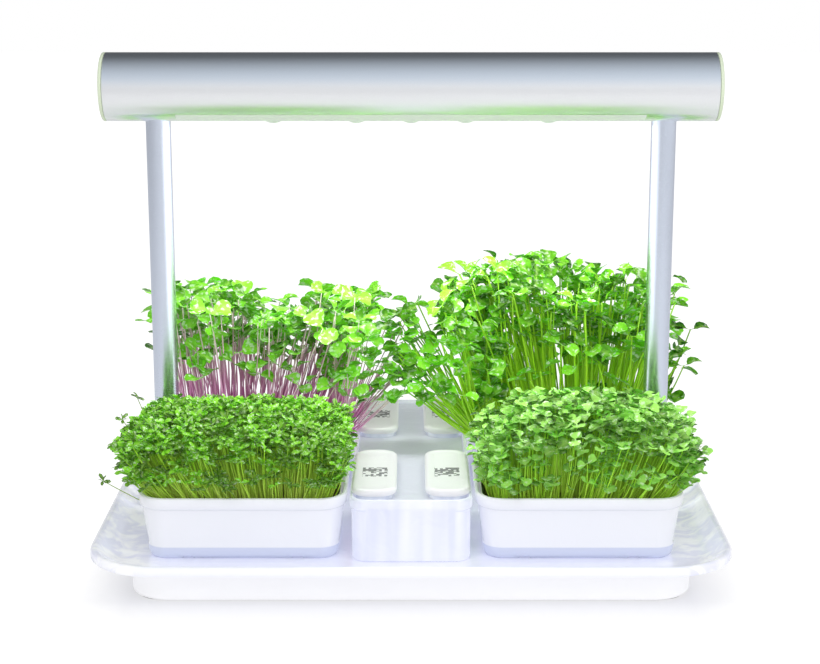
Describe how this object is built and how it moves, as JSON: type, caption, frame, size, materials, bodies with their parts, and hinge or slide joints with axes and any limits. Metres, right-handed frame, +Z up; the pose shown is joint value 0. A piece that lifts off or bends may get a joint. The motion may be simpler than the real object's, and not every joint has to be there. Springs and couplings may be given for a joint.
{
  "type": "countertop hydroponic garden",
  "caption": "Countertop hydroponic garden: shallow water basin on a plinth, lift-out grow trays of microgreens, central reservoir with capped cartridges, and a tube lamp on plug-in posts.",
  "frame": {"origin": "centre of the base, on the surface it stands on", "axes": "+Z up, +Y to the back, +X to the right as seen from the front"},
  "size_m": [0.54, 0.41, 0.442],
  "materials": {
    "base_white": "satin",
    "basin_white": "glossy",
    "tray_white": "satin gloss",
    "cap_white": "satin gloss",
    "tub_clear": "glossy, translucent",
    "flask_clear": "glossy, translucent",
    "lamp_aluminium": "satin anodised",
    "end_cap_green": "translucent, pale green",
    "diffuser_white": "opal",
    "insert_white": "satin",
    "mat_felt": "wet fibre",
    "cress_leaf": "leaf",
    "mustard_leaf": "leaf",
    "radish_leaf": "leaf",
    "greens_leaf": "leaf",
    "steel": "plated",
    "brass": "plain",
    "board_green": "solder mask",
    "board_white": "solder mask",
    "chip_yellow": "phosphor",
    "part_dark": "moulded",
    "nylon_grey": "moulded",
    "foot_rubber": "soft"
  },
  "bodies": {
    "base": {"rubber_feet": "foot_rubber", "bottom_cover": "base_white", "cover_screws": "steel", "plinth_shell": "base_white", "water_basin": "basin_white", "contact_pins": "brass", "driver_board": "board_green", "driver_parts": "part_dark", "switch_block": "part_dark", "power_inlet": "part_dark", "reservoir_tub": "tub_clear", "post_socket_left": "basin_white", "post_socket_right": "basin_white"},
    "light_frame": {"saddle_screws": "steel", "lamp_tube": "lamp_aluminium", "lamp_diffuser": "diffuser_white", "led_board": "board_white", "led_chips": "chip_yellow", "post_left": "lamp_aluminium", "post_plug_left": "nylon_grey", "post_saddle_left": "nylon_grey", "lamp_end_cap_left": "end_cap_green", "post_right": "lamp_aluminium", "post_plug_right": "nylon_grey", "post_saddle_right": "nylon_grey", "lamp_end_cap_right": "end_cap_green"},
    "button": {"power_button": "base_white"},
    "tray_front_left": {"grow_tray_front_left": "tray_white"},
    "insert_front_left": {"grow_insert_front_left": "insert_white", "seed_mat_front_left": "mat_felt", "crop_cress": "cress_leaf"},
    "cartridge_front_left": {"cartridge_flask_front_left": "flask_clear", "cartridge_cap_front_left": "cap_white"},
    "tray_front_right": {"grow_tray_front_right": "tray_white"},
    "insert_front_right": {"grow_insert_front_right": "insert_white", "seed_mat_front_right": "mat_felt", "crop_mustard": "mustard_leaf"},
    "cartridge_front_right": {"cartridge_flask_front_right": "flask_clear", "cartridge_cap_front_right": "cap_white"},
    "tray_rear_left": {"grow_tray_rear_left": "tray_white"},
    "insert_rear_left": {"grow_insert_rear_left": "insert_white", "seed_mat_rear_left": "mat_felt", "crop_radish": "radish_leaf"},
    "cartridge_rear_left": {"cartridge_flask_rear_left": "flask_clear", "cartridge_cap_rear_left": "cap_white"},
    "tray_rear_right": {"grow_tray_rear_right": "tray_white"},
    "insert_rear_right": {"grow_insert_rear_right": "insert_white", "seed_mat_rear_right": "mat_felt", "crop_greens": "greens_leaf"},
    "cartridge_rear_right": {"cartridge_flask_rear_right": "flask_clear", "cartridge_cap_rear_right": "cap_white"}
  },
  "joints": [
    {"name": "light_frame_lift", "type": "slide", "parent": "base", "child": "light_frame", "axis": [0, 0, 1], "range_m": [0, 0.06]},
    {"name": "button_press", "type": "slide", "parent": "base", "child": "button", "axis": [0, -1, 0], "range_m": [0, 0.0015], "stiffness_N_per_m": 400},
    {"name": "tray_front_left_lift", "type": "slide", "parent": "base", "child": "tray_front_left", "axis": [0, 0, 1], "range_m": [0, 0.075]},
    {"name": "insert_front_left_lift", "type": "slide", "parent": "tray_front_left", "child": "insert_front_left", "axis": [0, 0, 1], "range_m": [0, 0.045]},
    {"name": "cartridge_front_left_lift", "type": "slide", "parent": "base", "child": "cartridge_front_left", "axis": [0, 0, 1], "range_m": [0, 0.065]},
    {"name": "tray_front_right_lift", "type": "slide", "parent": "base", "child": "tray_front_right", "axis": [0, 0, 1], "range_m": [0, 0.075]},
    {"name": "insert_front_right_lift", "type": "slide", "parent": "tray_front_right", "child": "insert_front_right", "axis": [0, 0, 1], "range_m": [0, 0.045]},
    {"name": "cartridge_front_right_lift", "type": "slide", "parent": "base", "child": "cartridge_front_right", "axis": [0, 0, 1], "range_m": [0, 0.065]},
    {"name": "tray_rear_left_lift", "type": "slide", "parent": "base", "child": "tray_rear_left", "axis": [0, 0, 1], "range_m": [0, 0.075]},
    {"name": "insert_rear_left_lift", "type": "slide", "parent": "tray_rear_left", "child": "insert_rear_left", "axis": [0, 0, 1], "range_m": [0, 0.045]},
    {"name": "cartridge_rear_left_lift", "type": "slide", "parent": "base", "child": "cartridge_rear_left", "axis": [0, 0, 1], "range_m": [0, 0.065]},
    {"name": "tray_rear_right_lift", "type": "slide", "parent": "base", "child": "tray_rear_right", "axis": [0, 0, 1], "range_m": [0, 0.075]},
    {"name": "insert_rear_right_lift", "type": "slide", "parent": "tray_rear_right", "child": "insert_rear_right", "axis": [0, 0, 1], "range_m": [0, 0.045]},
    {"name": "cartridge_rear_right_lift", "type": "slide", "parent": "base", "child": "cartridge_rear_right", "axis": [0, 0, 1], "range_m": [0, 0.065]}
  ]
}
